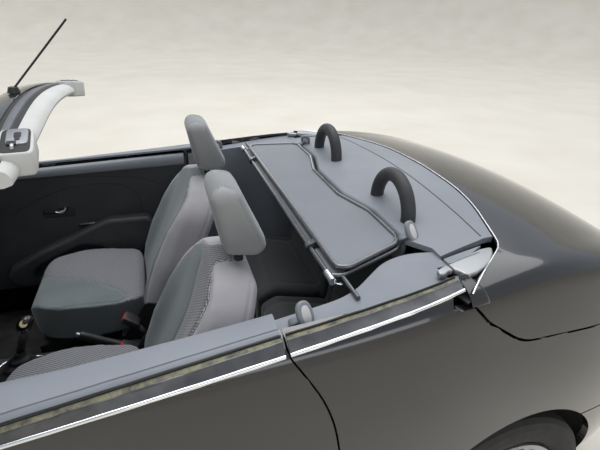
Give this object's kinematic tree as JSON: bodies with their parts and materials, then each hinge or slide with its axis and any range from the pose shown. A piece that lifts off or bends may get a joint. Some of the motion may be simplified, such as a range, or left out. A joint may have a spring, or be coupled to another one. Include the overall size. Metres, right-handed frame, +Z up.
{
  "type": "two-door convertible car",
  "caption": "Small open two-door convertible with stowed roof, front seats, wind deflector over the rear seats, roll hoops, opening doors, bonnet and boot lid, and steered wheels.",
  "frame": {"origin": "on the ground, below the middle of the car's length and width", "axes": "+X forward, +Y to the car's left, +Z up"},
  "size_m": [3.806, 2.0394, 1.5709],
  "materials": {
    "body_paint": "gloss",
    "black_plastic": "satin",
    "gloss_black": "gloss",
    "grey_trim": "satin",
    "dark_trim": "satin",
    "light_trim": "satin",
    "glass": "clear",
    "lamp_clear": "clear",
    "lamp_red": "gloss",
    "tyre": "matt",
    "alloy": "satin",
    "steel": "satin",
    "cast": "matt",
    "underbody": "matt",
    "seat_cloth": "woven",
    "rear_cloth": "woven",
    "leather": "grained",
    "mesh": "net"
  },
  "bodies": {
    "root": {"front_wings": "body_paint", "front_bumper": "body_paint", "front_grille": "black_plastic", "headlamps": "lamp_clear", "body_sides": "body_paint", "rear_bumper": "body_paint", "tail_lamps": "lamp_red", "windscreen_frame": "body_paint", "windscreen_glass": "glass", "roof_header": "light_trim", "cowl_panel": "black_plastic", "wheel_arches": "black_plastic", "body_floor": "underbody", "front_subframe": "steel", "engine_block": "cast", "fuel_tank": "black_plastic", "exhaust": "steel", "rear_axle": "steel", "dashboard": "dark_trim", "centre_console": "dark_trim", "gear_lever": "leather", "handbrake": "black_plastic", "seat_bases": "black_plastic", "seat_cushions": "seat_cloth", "seat_backs": "seat_cloth", "headrests": "seat_cloth", "rear_seat": "rear_cloth", "quarter_trims": "grey_trim", "rear_deck": "grey_trim", "roll_hoops": "dark_trim", "deflector_base": "gloss_black", "antenna": "black_plastic"},
    "door_left": {"door_shell_left": "body_paint", "door_trim_left": "dark_trim", "door_mirror_left": "body_paint"},
    "steering_left": {"knuckle_left": "cast"},
    "wheel_front_left": {"tyre_front_left": "tyre", "rim_front_left": "alloy"},
    "wheel_rear_left": {"tyre_rear_left": "tyre", "rim_rear_left": "alloy"},
    "door_right": {"door_shell_right": "body_paint", "door_trim_right": "dark_trim", "door_mirror_right": "body_paint"},
    "steering_right": {"knuckle_right": "cast"},
    "wheel_front_right": {"tyre_front_right": "tyre", "rim_front_right": "alloy"},
    "wheel_rear_right": {"tyre_rear_right": "tyre", "rim_rear_right": "alloy"},
    "bonnet": {"bonnet": "body_paint"},
    "boot_lid": {"boot_lid": "body_paint"},
    "deflector_flap": {"deflector_flap": "mesh"},
    "steering_wheel": {"steering_wheel": "leather"}
  },
  "joints": [
    {"name": "door_left", "type": "hinge", "parent": "root", "child": "door_left", "pos_m": [0.685, 0.818, 0.575], "axis": [0, 0, -1], "range_deg": [0, 65]},
    {"name": "door_right", "type": "hinge", "parent": "root", "child": "door_right", "pos_m": [0.685, -0.818, 0.575], "axis": [0, 0, 1], "range_deg": [0, 65]},
    {"name": "bonnet", "type": "hinge", "parent": "root", "child": "bonnet", "pos_m": [1, 0, 0.92988], "axis": [0, -1, 0], "range_deg": [0, 60]},
    {"name": "boot_lid", "type": "hinge", "parent": "root", "child": "boot_lid", "pos_m": [-0.988, 0, 1], "axis": [0, 1, 0], "range_deg": [0, 75]},
    {"name": "deflector_flap", "type": "hinge", "parent": "root", "child": "deflector_flap", "pos_m": [-0.707, 0, 1.007], "axis": [0, 1, 0], "range_deg": [0, 85]},
    {"name": "steering_wheel", "type": "hinge", "parent": "root", "child": "steering_wheel", "pos_m": [0.4, 0.35, 0.79], "axis": [-0.9135, 0, 0.4067], "range_deg": [-528, 528]},
    {"name": "steer_left", "type": "hinge", "parent": "root", "child": "steering_left", "pos_m": [1.213, 0.64425, 0.295], "axis": [0, -0.2018, 0.9794], "range_deg": [-33, 33]},
    {"name": "steer_right", "type": "hinge", "parent": "root", "child": "steering_right", "pos_m": [1.213, -0.64425, 0.295], "axis": [0, 0.2018, 0.9794], "range_deg": [-33, 33]},
    {"name": "spin_front_left", "type": "hinge", "parent": "steering_left", "child": "wheel_front_left", "pos_m": [1.213, 0.725, 0.295], "axis": [0, 1, 0], "continuous": true},
    {"name": "spin_front_right", "type": "hinge", "parent": "steering_right", "child": "wheel_front_right", "pos_m": [1.213, -0.725, 0.295], "axis": [0, 1, 0], "continuous": true},
    {"name": "spin_rear_left", "type": "hinge", "parent": "root", "child": "wheel_rear_left", "pos_m": [-1.219, 0.72, 0.295], "axis": [0, 1, 0], "continuous": true},
    {"name": "spin_rear_right", "type": "hinge", "parent": "root", "child": "wheel_rear_right", "pos_m": [-1.219, -0.72, 0.295], "axis": [0, 1, 0], "continuous": true}
  ],
  "couplings": [
    {"joint": "steer_left", "follows": "steering_wheel", "ratio": 0.0625},
    {"joint": "steer_right", "follows": "steering_wheel", "ratio": 0.0625}
  ]
}
